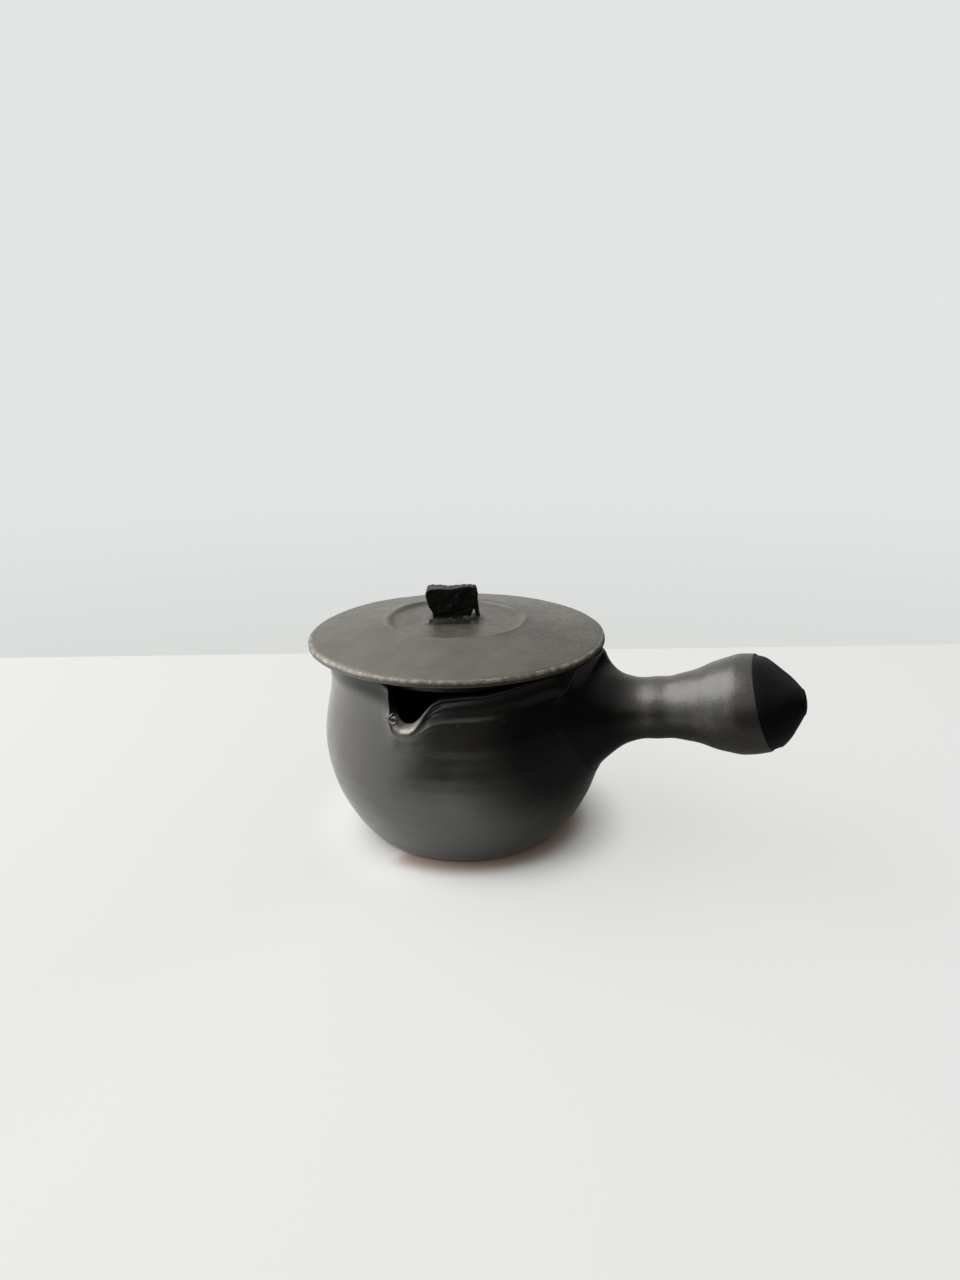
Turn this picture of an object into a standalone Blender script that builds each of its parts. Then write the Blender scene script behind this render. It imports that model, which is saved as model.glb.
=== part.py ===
"""Stoneware milk pan: a thrown round pot with a pulled pouring lip, a hollow side handle and a loose lid.

Metres, +Z up. The origin is the middle of the base, +X runs along the handle and -Y out through the lip.
The pot stands on its flat base. The lid lies on the rim and lifts straight off.
"""

import math

import bmesh
import bpy
import numpy as np
from mathutils import Matrix, Vector

# Pot: a full belly on a flat base, closing in to a neck under an upright collar
POT_HEIGHT = 0.0921
BELLY_RADIUS = 0.0671
BELLY_HEIGHT = 0.0490
BASE_RADIUS = 0.0478
BASE_ROUND = 0.0020
NECK_RADIUS = 0.0612
NECK_DROP = 0.0138
COLLAR_SWELL = 0.0016
COLLAR_BLEND = 0.0060
WALL = 0.0042
FOOT_WALL = 0.0062
FLOOR = 0.0055
FLOOR_ROUND = 0.0040
LOWER_CURVE = 2.2
UPPER_CURVE = 1.55

# Pouring lip: the rim pushed down and drawn outwards with a finger, torn steep on one side
LIP_WIDTH = 0.0216
LIP_DEPTH = 0.0230
LIP_REACH = 0.0035
LIP_BED = 0.0091
# Each row: place across the lip as a share of half its width, then shares of its depth and of its reach
LIP_SHARES = (
    (-2.60, 0.00, 0.00),
    (-1.70, 0.05, 0.25),
    (-0.91, 0.27, 0.75),
    (-0.80, 0.76, 0.90),
    (-0.58, 0.93, 1.00),
    (-0.25, 1.00, 1.00),
    (0.10, 0.91, 1.00),
    (0.42, 0.63, 0.90),
    (0.70, 0.44, 0.75),
    (1.00, 0.35, 0.60),
    (1.50, 0.30, 0.40),
    (2.10, 0.20, 0.22),
    (2.80, 0.08, 0.08),
    (3.60, 0.00, 0.00),
)

# Handle: thrown hollow like a bottle, flared where it joins the pot, its closed end pared to a blunt cone
HANDLE_DROP = 0.0275
HANDLE_TILT = math.radians(9.4)
HANDLE_LENGTH = 0.0908
HANDLE_WALL = 0.0042
GRIP_DISTANCE = 0.0248
GRIP_RADIUS = 0.0139
BULB_DISTANCE = 0.0643
BULB_RADIUS = 0.0219
ROOT_RADIUS = 0.0264
ROOT_DISTANCE = 0.0005
ROOT_DEPTH = 0.0120
ROOT_CURVE = 2.85
ROOT_WRAP = 4
BULB_CURVE = 1.4
NOSE_RADIUS = 0.0060
NOSE_ROUND = 0.0015
PARED_LENGTH = 0.0163
PARED_STEP = 0.0003
PARED_SKEW = 0.0018
PARED_CURVE = 1.7
RING_PITCH = 0.0125
RING_DEPTH = 0.0003
END_WALL = 0.0120

# Lid: a flat-seated cone with a raised ring round a shallow dish, and a locating ring below
LID_RADIUS = 0.0700
LID_EDGE = 0.0031
LID_RISE = 0.0063
LID_WALL = 0.0046
EDGE_ROUND = 0.0007
DISH_RADIUS = 0.0323
DISH_DEPTH = 0.0015
BEAD_HEIGHT = 0.0006
BEAD_WIDTH = 0.0022
DISH_SLOPE = 0.0032
PAD_RADIUS = 0.0165
LOCATING_HEIGHT = 0.0075
LOCATING_WALL = 0.0032
LOCATING_BEVEL = 0.0008
LID_PLAY = 0.0039

# Knob: a torn slab of clay folded over, thick at one end, with a slot between its stem and its thin leg
KNOB_WIDTH = 0.0238
KNOB_HEIGHT = 0.0165
KNOB_DEPTH = 0.0110
KNOB_OFFSET = 0.0010
KNOB_TURN = math.radians(21)
KNOB_ROUND = 0.0012
SLOT_WIDTH = 0.0026
SLOT_HEIGHT = 0.0064
LEG_WIDTH = 0.0024
# Each row: height share, then left and right ends as shares of the width from its middle,
# then the front face at its left and right and the back face as shares of the depth from its middle
KNOB_SHARES = (
    (0.00, -0.47, 0.52, -0.46, 0.00, 0.42),
    (0.10, -0.43, 0.49, -0.38, 0.05, 0.40),
    (0.24, -0.43, 0.47, -0.36, 0.07, 0.40),
    (0.32, -0.45, 0.46, -0.40, 0.05, 0.41),
    (0.37, -0.48, 0.45, -0.54, -0.01, 0.42),
    (0.62, -0.53, 0.45, -0.58, -0.02, 0.43),
    (0.86, -0.55, 0.48, -0.58, -0.02, 0.44),
    (0.97, -0.54, 0.48, -0.55, 0.00, 0.43),
    (1.00, -0.52, 0.46, -0.51, 0.03, 0.41),
)

# Clearances and cutting
JOINT_GAP = 0.0003
CUT_OVERRUN = 0.0060

# How finely the curved pieces are divided
POT_COLUMNS = 50
HANDLE_COLUMNS = 36
LID_COLUMNS = 64
SHARP_ANGLE = math.radians(32)

NECK_HEIGHT = POT_HEIGHT - NECK_DROP
COLLAR_RADIUS = NECK_RADIUS + COLLAR_SWELL
MOUTH_RADIUS = COLLAR_RADIUS - WALL
PULL_FOOT = POT_HEIGHT - LIP_DEPTH - LIP_BED
HANDLE_HEIGHT = POT_HEIGHT - HANDLE_DROP
LID_SEAT = POT_HEIGHT + JOINT_GAP
LID_SHIFT = JOINT_GAP - LID_PLAY
LOCATING_RADIUS = MOUTH_RADIUS - LID_PLAY


# Scene and materials


def clear_scene():
    for old in list(bpy.data.objects):
        bpy.data.objects.remove(old, do_unlink=True)


def clay(name, colour, roughness):
    """A fired clay surface with the given colour."""
    material = bpy.data.materials.new(name)
    material.use_nodes = True
    shader = material.node_tree.nodes["Principled BSDF"]
    shader.inputs["Base Color"].default_value = (*colour, 1)
    shader.inputs["Roughness"].default_value = roughness
    shader.inputs["Metallic"].default_value = 0
    return material


# Surfaces


def add_object(name, bm, material=None, frame=Matrix()):
    """Makes an object from the mesh, closed and facing out, and shades it smooth up to its sharp edges."""
    bmesh.ops.recalc_face_normals(bm, faces=bm.faces)
    mesh = bpy.data.meshes.new(name)
    bm.to_mesh(mesh)
    bm.free()
    if material:
        mesh.materials.append(material)
    mesh.shade_smooth()
    mesh.set_sharp_from_angle(angle=SHARP_ANGLE)
    made = bpy.data.objects.new(name, mesh)
    bpy.context.scene.collection.objects.link(made)
    made.matrix_world = frame
    return made


def loft(rings, closed_tube=False):
    """Skins rings of equal length in order. The ends are capped, or joined to each other in a closed tube.

    A ring of one point is a pole.
    """
    bm = bmesh.new()
    rows = [[bm.verts.new(point) for point in ring] for ring in rings]
    pairs = list(zip(rows, rows[1:]))
    if closed_tube:
        pairs.append((rows[-1], rows[0]))
    for low, high in pairs:
        count = max(len(low), len(high))
        for i in range(count):
            j = (i + 1) % count
            if len(low) == 1:
                bm.faces.new((low[0], high[j], high[i]))
            elif len(high) == 1:
                bm.faces.new((low[i], low[j], high[0]))
            else:
                bm.faces.new((low[i], low[j], high[j], high[i]))
    if not closed_tube:
        for end in (rows[0], rows[-1]):
            if len(end) > 1:
                bm.faces.new(end)
    return bm


def turn(outline, angles, shape=None, closed_tube=False):
    """Carries an outline of (radius, height) points round +Z, each column moved by shape(angle, radius, height)."""
    rings = []
    for radius, height in outline:
        if radius == 0:
            rings.append([(0, 0, height)])
            continue
        ring = []
        for angle in angles:
            far, high = shape(angle, radius, height) if shape else (radius, height)
            ring.append((far * math.cos(angle), far * math.sin(angle), high))
        rings.append(ring)
    return loft(rings, closed_tube)


def even_angles(count):
    return [math.tau * i / count for i in range(count)]


def soft_corner(start, corner, end, steps=3):
    """Points of a curve that leaves start towards the corner and reaches end from it."""
    points = []
    for share in np.linspace(0, 1, steps + 1):
        first = (1 - share) ** 2
        middle = 2 * share * (1 - share)
        last = share**2
        points.append(tuple(first * a + middle * b + last * c for a, b, c in zip(start, corner, end)))
    return points


def between(low, high, steps):
    """Heights after low, up to and with high."""
    return [float(height) for height in np.linspace(low, high, steps + 1)[1:]]


def cut(target, tool):
    modifier = target.modifiers.new(tool.name, "BOOLEAN")
    modifier.object = tool
    modifier.operation = "DIFFERENCE"
    modifier.solver = "EXACT"
    tool.hide_render = True
    tool.display_type = "WIRE"


def settle(made):
    """Turns the result of an object's cuts into its own mesh and marks the new edges."""
    graph = bpy.context.evaluated_depsgraph_get()
    mesh = bpy.data.meshes.new_from_object(made.evaluated_get(graph))
    made.modifiers.clear()
    made.data = mesh
    mesh.shade_smooth()
    mesh.set_sharp_from_angle(angle=SHARP_ANGLE)


# Pot


def wall_radius(height, foot_height, foot_radius, inset):
    """Radius of the wall: a power curve from the foot to the belly, another in to the neck, then the collar."""
    belly = BELLY_RADIUS - inset
    if height < BELLY_HEIGHT:
        below = (BELLY_HEIGHT - height) / (BELLY_HEIGHT - foot_height)
        return belly - (belly - foot_radius) * below**LOWER_CURVE
    if height < NECK_HEIGHT:
        above = (height - BELLY_HEIGHT) / (NECK_HEIGHT - BELLY_HEIGHT)
        return belly - (BELLY_RADIUS - NECK_RADIUS) * above**UPPER_CURVE
    rise = min(1, (height - NECK_HEIGHT) / COLLAR_BLEND)
    return NECK_RADIUS - inset + COLLAR_SWELL * math.sin(rise * math.pi / 2)


def outer_radius(height):
    return wall_radius(height, 0, BASE_RADIUS, 0)


def inner_radius(height):
    return wall_radius(height, FLOOR, outer_radius(FLOOR) - FOOT_WALL, WALL)


def outer_outline(steps=(7, 6, 3)):
    """Points of the pot's outside, from the middle of the base to the foot of the round rim."""
    rim_foot = POT_HEIGHT - WALL / 2
    edge = soft_corner((BASE_RADIUS - BASE_ROUND, 0), (BASE_RADIUS, 0), (outer_radius(BASE_ROUND), BASE_ROUND))
    heights = between(BASE_ROUND, BELLY_HEIGHT, steps[0])
    heights += between(BELLY_HEIGHT, NECK_HEIGHT, steps[1])
    heights += between(NECK_HEIGHT, NECK_HEIGHT + COLLAR_BLEND, steps[2])
    heights.append(rim_foot)
    return edge + [(outer_radius(height), height) for height in heights]


def inner_outline():
    """Points of the pot's inside, from the foot of the round rim down to the floor."""
    rim_foot = POT_HEIGHT - WALL / 2
    heights = between(rim_foot, NECK_HEIGHT, 3)
    heights += between(NECK_HEIGHT, BELLY_HEIGHT, 5)
    heights += between(BELLY_HEIGHT, FLOOR + FLOOR_ROUND, 5)
    walls = [(inner_radius(height), height) for height in heights]
    corner = (inner_radius(FLOOR), FLOOR)
    return walls[:-1] + soft_corner(walls[-1], corner, (corner[0] - FLOOR_ROUND, FLOOR))


def round_rim(steps=5):
    middle = COLLAR_RADIUS - WALL / 2
    height = POT_HEIGHT - WALL / 2
    angles = [math.pi * i / steps for i in range(1, steps)]
    points = [(middle + WALL / 2 * math.cos(a), height + WALL / 2 * math.sin(a)) for a in angles]
    return points + [(MOUTH_RADIUS, height)]


def lip_angle(share):
    """Angle round the pot of a place across the lip, which is centred on -Y."""
    return share * LIP_WIDTH / 2 / COLLAR_RADIUS - math.pi / 2


def pot_angles():
    """The lip's own places and, round the rest of the pot, even columns."""
    lip = [lip_angle(row[0]) for row in LIP_SHARES]
    rest = math.tau - (lip[-1] - lip[0])
    count = round(POT_COLUMNS * rest / math.tau)
    return lip + [lip[-1] + rest * i / count for i in range(1, count)]


def pull_lip(angle, radius, height):
    """Lowers the rim across the lip and draws the wall out to it. The clay gives less towards the belly."""
    if height <= PULL_FOOT:
        return radius, height
    places, dips, reaches = zip(*((lip_angle(row[0]), row[1], row[2]) for row in LIP_SHARES))
    dip = float(np.interp(angle, places, dips, 0, 0))
    reach = float(np.interp(angle, places, reaches, 0, 0))
    rise = (height - PULL_FOOT) / (POT_HEIGHT - PULL_FOOT)
    foot = outer_radius(PULL_FOOT)
    drawn = foot + (COLLAR_RADIUS + LIP_REACH - foot) * rise
    return radius + (drawn - outer_radius(height)) * reach, height - LIP_DEPTH * dip * rise


def make_bowl(material):
    """The thrown pot: floor, wall and collar as one turned shell, with its lip pulled from the soft rim."""
    outline = outer_outline() + round_rim() + inner_outline() + [(0, FLOOR)]
    return add_object("bowl", turn(outline, pot_angles(), pull_lip), material)


# Handle


def handle_frame():
    """The handle's axis leaves the belly line over +X and rises with the tilt."""
    turn_down = Matrix.Rotation(math.pi / 2 - HANDLE_TILT, 4, "Y")
    return Matrix.Translation((BELLY_RADIUS, 0, HANDLE_HEIGHT)) @ turn_down


def root_share(distance):
    """How far along the root a place lies: nothing at the grip, one at the foot and inside the pot."""
    return min(1, max(0, (GRIP_DISTANCE - distance) / (GRIP_DISTANCE - ROOT_DISTANCE)))


def wrap_root(angle, radius, height):
    """Bends the root so that its foot lies on an upright cylinder as wide as the belly and ends under the rim."""
    share = root_share(height)
    across = radius * math.sin(angle)
    down = math.cos(angle) * math.cos(HANDLE_TILT)
    wall = math.sqrt((BELLY_RADIUS + JOINT_GAP) ** 2 - across**2)
    lean = (wall - BELLY_RADIUS) / math.cos(HANDLE_TILT) - radius * math.cos(angle) * math.tan(HANDLE_TILT)
    height += (lean - ROOT_DISTANCE) * share**ROOT_WRAP
    if share > 0 and down < 0:
        radius = min(radius, (HANDLE_DROP - height * math.sin(HANDLE_TILT)) / -down)
    return radius, height


def thrown_radius(distance):
    """Outside of the thrown handle: flared root, slim grip, round bulb, with soft throwing rings on the grip."""
    rings = RING_DEPTH * math.cos(math.tau * (distance - BULB_DISTANCE) / RING_PITCH)
    if distance < GRIP_DISTANCE:
        share = root_share(distance)
        return GRIP_RADIUS + (ROOT_RADIUS - GRIP_RADIUS) * share**ROOT_CURVE + rings * (1 - share)
    if distance < BULB_DISTANCE:
        share = (distance - GRIP_DISTANCE) / (BULB_DISTANCE - GRIP_DISTANCE)
        swell = (1 - math.cos(math.pi * share**BULB_CURVE)) / 2
        return GRIP_RADIUS + (BULB_RADIUS - GRIP_RADIUS) * swell + rings
    share = (distance - BULB_DISTANCE) / (HANDLE_LENGTH + CUT_OVERRUN - BULB_DISTANCE)
    return (BULB_RADIUS + RING_DEPTH) * math.sqrt(1 - share**2)


def thrown_outline():
    """The thrown handle before its end is pared, from inside the pot's wall to its closed end."""
    distances = [-ROOT_DEPTH, ROOT_DISTANCE]
    distances += between(ROOT_DISTANCE, GRIP_DISTANCE, 8)
    distances += between(GRIP_DISTANCE, BULB_DISTANCE, 10)
    distances += between(BULB_DISTANCE, HANDLE_LENGTH, 5)
    points = [(thrown_radius(distance), distance) for distance in distances]
    return points + [(0, HANDLE_LENGTH + CUT_OVERRUN)]


def skew_start(angle, radius, height):
    """Leans the knife's starting line, which lies nearer the pot on the upper side of the bulb."""
    share = min(1, max(0, (HANDLE_LENGTH - height) / (NOSE_ROUND + PARED_LENGTH)))
    return radius, height + PARED_SKEW * share * math.cos(angle)


def waste_outline():
    """The clay that the knife takes off: all that lies outside the end's blunt, swelling taper."""
    taper_end = HANDLE_LENGTH - NOSE_ROUND
    taper_start = taper_end - PARED_LENGTH
    full = thrown_radius(taper_start) - PARED_STEP
    points = [(full + CUT_OVERRUN, taper_start)]
    for distance in np.linspace(taper_start, taper_end, 8):
        share = float((distance - taper_start) / PARED_LENGTH)
        points.append((full - (full - NOSE_RADIUS) * share**PARED_CURVE, float(distance)))
    nose = soft_corner(points[-1], (NOSE_RADIUS * 2 / 3, HANDLE_LENGTH), (0, HANDLE_LENGTH))
    beyond = HANDLE_LENGTH + CUT_OVERRUN * 2
    return [(0, beyond), (full + CUT_OVERRUN, beyond)] + points + nose[1:]


def hollow_outline():
    """The hollow of the thrown handle: a plain bore through the grip that widens inside the bulb."""
    end = HANDLE_LENGTH - END_WALL
    bore = GRIP_RADIUS - HANDLE_WALL
    points = [(0, -ROOT_DEPTH - CUT_OVERRUN), (bore, -ROOT_DEPTH - CUT_OVERRUN), (bore, GRIP_DISTANCE)]
    for distance in between(GRIP_DISTANCE, BULB_DISTANCE, 5):
        points.append((thrown_radius(distance) - HANDLE_WALL - RING_DEPTH, distance))
    widest = points[-1][0]
    for share in (0.35, 0.65, 0.88):
        points.append((widest * math.sqrt(1 - share**2), BULB_DISTANCE + (end - BULB_DISTANCE) * share))
    return points + [(0, end)]


def wall_cutter():
    """The pot's own outside, grown by the joint gap and carried up past the rim."""
    grown = [(radius + JOINT_GAP, height) for radius, height in outer_outline()]
    grown.append((grown[-1][0], POT_HEIGHT + CUT_OVERRUN))
    return add_object("wall_cutter", turn(grown, pot_angles()))


def make_handle(material):
    """The handle is thrown, pared and hollowed on its own axis, then its root is cut to the curve of the pot."""
    frame = handle_frame()
    angles = even_angles(HANDLE_COLUMNS)
    # The cutters' edges lie between those of the handle, so that none of them coincide.
    halfway = [angle + math.pi / HANDLE_COLUMNS for angle in angles]
    handle = add_object("handle", turn(thrown_outline(), angles, wrap_root), material, frame)
    cut(handle, add_object("pared_waste", turn(waste_outline(), halfway, skew_start), None, frame))
    cut(handle, add_object("hollow_cutter", turn(hollow_outline(), halfway), None, frame))
    cut(handle, wall_cutter())
    settle(handle)
    return handle


# Lid


def lid_top(radius):
    """Height of the lid's upper side over its seat: a cone, a raised bead, then the dish and its flat middle."""
    crest = DISH_RADIUS + BEAD_WIDTH
    edge = LID_RADIUS - EDGE_ROUND
    cone = LID_EDGE + LID_RISE * min(1, (edge - radius) / (edge - crest))
    if radius >= crest:
        return cone
    if radius >= DISH_RADIUS:
        return cone + BEAD_HEIGHT * math.sin((crest - radius) / BEAD_WIDTH * math.pi / 2)
    fall = min(1, (DISH_RADIUS - radius) / DISH_SLOPE)
    return cone + BEAD_HEIGHT - DISH_DEPTH * math.sin(fall * math.pi / 2)


def lid_outline():
    """Points from the middle of the underside, out along the flat seat, round the edge and up to the pad."""
    crest = DISH_RADIUS + BEAD_WIDTH
    edge = LID_RADIUS - EDGE_ROUND
    seat = LOCATING_RADIUS - LOCATING_WALL
    hollow = seat - LID_WALL
    points = [(0, lid_top(0) - LID_WALL)]
    for radius in (PAD_RADIUS, DISH_RADIUS - DISH_SLOPE, crest, (crest + hollow) / 2, hollow):
        points.append((radius, lid_top(min(radius, edge)) - LID_WALL))
    points += [(seat, 0), (edge, 0), (LID_RADIUS, EDGE_ROUND)]
    points += soft_corner((LID_RADIUS, LID_EDGE - EDGE_ROUND), (LID_RADIUS, LID_EDGE), (edge, LID_EDGE), 2)
    for radius in between(edge, crest, 4) + between(crest, DISH_RADIUS, 2):
        points.append((radius, lid_top(radius)))
    for radius in between(DISH_RADIUS, DISH_RADIUS - DISH_SLOPE, 3) + [PAD_RADIUS]:
        points.append((radius, lid_top(radius)))
    return points + [(0, lid_top(0))]


def make_lid(material, lid):
    plate = add_object("lid_plate", turn(lid_outline(), even_angles(LID_COLUMNS)), material)
    plate.parent = lid
    return plate


def make_locating_ring(material, lid):
    """A low ring under the lid that keeps it over the mouth, with the lower edges taken off."""
    inside = LOCATING_RADIUS - LOCATING_WALL
    top = -JOINT_GAP
    low = top - LOCATING_HEIGHT
    outline = [
        (inside, top),
        (inside, low + LOCATING_BEVEL),
        (inside + LOCATING_BEVEL, low),
        (LOCATING_RADIUS - LOCATING_BEVEL, low),
        (LOCATING_RADIUS, low + LOCATING_BEVEL),
        (LOCATING_RADIUS, top),
    ]
    ring = add_object("lid_locating_ring", turn(outline, even_angles(LID_COLUMNS), None, True), material)
    ring.parent = lid
    return ring


# Knob


def knob_ring(row):
    """One level of the knob: a wedge in plan with rounded corners, five points along each side."""
    height, left, right, front_left, front_right, back = row
    corners = [
        Vector((left * KNOB_WIDTH, front_left * KNOB_DEPTH)),
        Vector((right * KNOB_WIDTH, front_right * KNOB_DEPTH)),
        Vector((right * KNOB_WIDTH, back * KNOB_DEPTH)),
        Vector((left * KNOB_WIDTH, back * KNOB_DEPTH)),
    ]
    ring = []
    for i, corner in enumerate(corners):
        before, after = corners[i - 1], corners[(i + 1) % 4]
        start = corner + (before - corner).normalized() * KNOB_ROUND
        end = corner + (after - corner).normalized() * KNOB_ROUND
        ring += soft_corner(start, corner, end)
        far = after + (corner - after).normalized() * KNOB_ROUND
        ring += [end.lerp(far, 1 / 3), end.lerp(far, 2 / 3)]
    return [(x, y, height * KNOB_HEIGHT) for x, y in ring]


def make_knob(material, lid):
    """The slab, with a slot cut up beside its thin leg, stands on the pad in the middle of the dish."""
    frame = Matrix.Translation((0, 0, lid_top(0) + JOINT_GAP)) @ Matrix.Rotation(KNOB_TURN, 4, "Z")
    frame = frame @ Matrix.Translation((-KNOB_OFFSET, 0, 0))
    knob = add_object("lid_knob", loft([knob_ring(row) for row in KNOB_SHARES]), material, frame)
    outer = KNOB_SHARES[2][2] * KNOB_WIDTH - LEG_WIDTH
    plan = ((outer - SLOT_WIDTH, -CUT_OVERRUN), (outer, -CUT_OVERRUN), (outer - SLOT_WIDTH / 4, SLOT_HEIGHT))
    plan += ((outer - SLOT_WIDTH * 3 / 4, SLOT_HEIGHT),)
    half = KNOB_DEPTH / 2 + CUT_OVERRUN
    rings = [[(x, side * half, z) for x, z in plan] for side in (-1, 1)]
    cut(knob, add_object("slot_cutter", loft(rings), None, frame))
    settle(knob)
    knob.parent = lid
    return knob


clear_scene()

pot_clay = clay("black_stoneware", (0.034, 0.033, 0.031), 0.45)
handle_clay = clay("handle_stoneware", (0.052, 0.048, 0.045), 0.42)
lid_clay = clay("brown_grey_stoneware", (0.115, 0.105, 0.093), 0.5)
ring_clay = clay("lid_ring_stoneware", (0.09, 0.075, 0.062), 0.6)
knob_clay = clay("knob_stoneware", (0.03, 0.028, 0.026), 0.5)

bowl = make_bowl(pot_clay)
handle = make_handle(handle_clay)

lid_origin = bpy.data.objects.new("lid", None)
bpy.context.scene.collection.objects.link(lid_origin)
make_lid(lid_clay, lid_origin)
make_locating_ring(ring_clay, lid_origin)
make_knob(knob_clay, lid_origin)
lid_origin.location = (LID_SHIFT, 0, LID_SEAT)
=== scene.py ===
import math

import bpy
import numpy as np
from mathutils import Matrix, Vector


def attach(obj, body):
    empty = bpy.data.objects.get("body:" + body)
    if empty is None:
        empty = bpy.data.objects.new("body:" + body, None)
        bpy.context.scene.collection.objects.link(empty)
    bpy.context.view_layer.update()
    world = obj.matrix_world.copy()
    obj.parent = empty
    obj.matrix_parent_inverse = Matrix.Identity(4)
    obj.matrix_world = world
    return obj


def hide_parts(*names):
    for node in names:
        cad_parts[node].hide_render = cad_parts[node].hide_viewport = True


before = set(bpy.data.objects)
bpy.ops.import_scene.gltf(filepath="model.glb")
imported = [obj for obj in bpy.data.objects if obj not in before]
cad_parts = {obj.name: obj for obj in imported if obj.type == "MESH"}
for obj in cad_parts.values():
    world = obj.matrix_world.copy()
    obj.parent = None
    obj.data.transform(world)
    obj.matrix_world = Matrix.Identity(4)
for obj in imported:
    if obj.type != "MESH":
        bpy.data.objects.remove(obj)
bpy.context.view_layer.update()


# Camera: stands over the front of the table, turned 21 degrees towards the handle and looking down on the lid.

FRAME_HEIGHT = 1280
FOCAL_LENGTH = 962
CAMERA_PLACE = (0.16334364, -0.40431747, 0.231)
CAMERA_TURN = math.radians(21)
CAMERA_DOWN = 17.79
CAMERA_ROLL = math.radians(-0.81)

camera_data = bpy.data.cameras.new("camera")
camera_data.sensor_fit = "VERTICAL"
camera_data.sensor_height = 36
camera_data.lens = FOCAL_LENGTH / FRAME_HEIGHT * 36
camera = bpy.data.objects.new("camera", camera_data)
camera.matrix_world = (
    Matrix.Translation(CAMERA_PLACE)
    @ Matrix.Rotation(CAMERA_TURN, 4, "Z")
    @ Matrix.Rotation(math.radians(90 - CAMERA_DOWN), 4, "X")
    @ Matrix.Rotation(CAMERA_ROLL, 4, "Z")
)
bpy.context.scene.collection.objects.link(camera)
bpy.context.scene.camera = camera
bpy.context.scene.view_settings.view_transform = "Standard"


# Table: a matt white top that ends at the wall behind it. The pale wall is the room's own colour.
# The camera sees it in an even pale tone, with a painted reddish shadow by the pan's foot, and clear from below.
# All other rays see it dark, with painted light on its bright side and close to the pan.

TABLE_HALF = 3.0
TABLE_BACK = 0.257
TABLE_DROP = 0.0002
BRIGHT_SIDE = math.radians(120)
FOOT_EDGE = 0.051
FOOT_SHADOW_REACH = 0.063
EVEN_REACH = 0.086


def add_node(tree, kind, wires=None, **settings):
    """Adds a shader node. Wires gives each input, by name or number, its value or the output that feeds it."""
    made = tree.nodes.new("ShaderNode" + kind)
    for name, value in settings.items():
        setattr(made, name, value)
    for place, value in (wires or {}).items():
        if isinstance(value, bpy.types.NodeSocket):
            tree.links.new(value, made.inputs[place])
        else:
            made.inputs[place].default_value = value
    return made


def new_finish(name, roughness, shine):
    """A Principled material. Returns it with its shader and the place on the piece."""
    material = bpy.data.materials.new(name)
    material.use_nodes = True
    shader = material.node_tree.nodes["Principled BSDF"]
    shader.inputs["Roughness"].default_value = roughness
    shader.inputs["Specular IOR Level"].default_value = shine
    return material, shader, add_node(material.node_tree, "TexCoord").outputs["Object"]


def feed(shader, **values):
    """Links a value to each input of the shader that is named, with _ for a space."""
    for name, value in values.items():
        shader.id_data.links.new(value, shader.inputs[name.replace("_", " ")])


def ramp(value, start, end, low=0.0, high=1.0):
    """Eases from low to high as the value goes from start to end."""
    wires = {"Value": value, "From Min": start, "From Max": end, "To Min": low, "To Max": high}
    return add_node(value.id_data, "MapRange", wires, interpolation_type="SMOOTHSTEP").outputs["Result"]


def tint(share, first, second):
    """Goes from the first colour to the second as the share goes from 0 to 1."""
    wires = {0: share}
    for place, colour in ((6, first), (7, second)):
        wires[place] = colour if isinstance(colour, bpy.types.NodeSocket) else (*colour, 1)
    return add_node(share.id_data, "Mix", wires, data_type="RGBA").outputs[2]


def combine(kind, first, second):
    """One sum of two values."""
    return add_node(first.id_data, "Math", {0: first, 1: second}, operation=kind).outputs[0]


def combine_ways(kind, first, second=(0, 0, 0)):
    """One sum of two vectors. A length, a distance and a dot product come out as a value."""
    answer = "Value" if kind in ("LENGTH", "DISTANCE", "DOT_PRODUCT") else "Vector"
    return add_node(first.id_data, "VectorMath", {0: first, 1: second}, operation=kind).outputs[answer]


def part_of(way, axis):
    """One of the three parts of a vector."""
    return add_node(way.id_data, "SeparateXYZ", {0: way}).outputs[axis]


def level_part(way):
    """The vector without its height."""
    return add_node(way.id_data, "CombineXYZ", {axis: part_of(way, axis) for axis in "XY"}).outputs[0]


def mapped(place, **shift):
    """The place, scaled, turned and shifted as a Mapping node does it."""
    return add_node(place.id_data, "Mapping", {"Vector": place, **shift}).outputs[0]


def towards_window(direction):
    """Cosine of the angle between a level direction and the bright side of the room, left of the pan and behind."""
    side = CAMERA_TURN - BRIGHT_SIDE
    return combine_ways("DOT_PRODUCT", direction, (math.sin(side), -math.cos(side), 0.0))


def lay_mesh(name, points, faces, finish):
    """A piece with its points where they belong, so that its object stays at the origin."""
    mesh = bpy.data.meshes.new(name)
    mesh.from_pydata(points, [], faces)
    mesh.materials.append(finish)
    made = bpy.data.objects.new(name, mesh)
    bpy.context.scene.collection.objects.link(made)
    return made


table_finish, table_shader, table_place = new_finish("white_table", 0.85, 0.2)
table_tree = table_finish.node_tree
seen_share = add_node(table_tree, "LightPath").outputs["Is Camera Ray"]
from_pan = combine_ways("LENGTH", table_place)
lit_share = ramp(towards_window(combine_ways("NORMALIZE", table_place)), -0.05, 0.40)
near_pan = mapped(table_place, Location=(-0.024, 0, 0), Scale=(0.6, 1.0, 1.0))
near_share = ramp(combine_ways("LENGTH", near_pan), 0.20, 0.10)
near_share = combine("MULTIPLY", near_share, ramp(part_of(near_pan, "X"), -0.01, 0.03, 1.0, 0.2))
# Painted light: to all rays but the camera's, the table is lighter on the window's side and near the pan, and darker to
# the pan's right, where the pot's shadow falls.
bounced = tint(combine("MAXIMUM", lit_share, near_share), (0.06, 0.06, 0.058), (0.88, 0.88, 0.87))
looked_at = tint(lit_share, (0.84, 0.84, 0.83), (0.74, 0.74, 0.735))
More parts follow.
